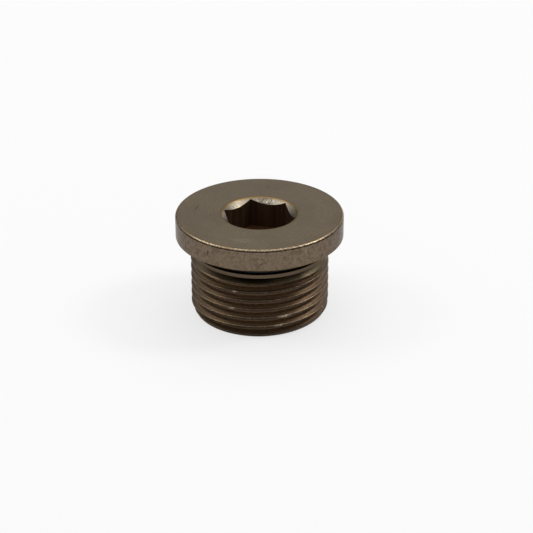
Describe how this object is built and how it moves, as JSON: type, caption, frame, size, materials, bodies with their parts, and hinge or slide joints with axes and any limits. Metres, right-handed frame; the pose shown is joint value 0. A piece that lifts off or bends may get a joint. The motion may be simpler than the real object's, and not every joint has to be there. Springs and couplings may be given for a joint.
{
  "type": "hex socket plug",
  "caption": "Flanged screw plug with a hexagon socket, parallel pipe thread and captive sealing ring; it closes a threaded port.",
  "frame": {"origin": "centre of the flat end face that the plug stands on", "axes": "+Z along the thread's axis, from the end face to the socket; two flats of the socket are square to Y"},
  "size_m": [0.032, 0.032, 0.0199],
  "materials": {
    "plated_brass": "nickel-plated, satin, fine turned",
    "seal_rubber": "matt"
  },
  "bodies": {
    "root": {"plug_body": "plated_brass", "sealing_ring": "seal_rubber"}
  },
  "joints": []
}
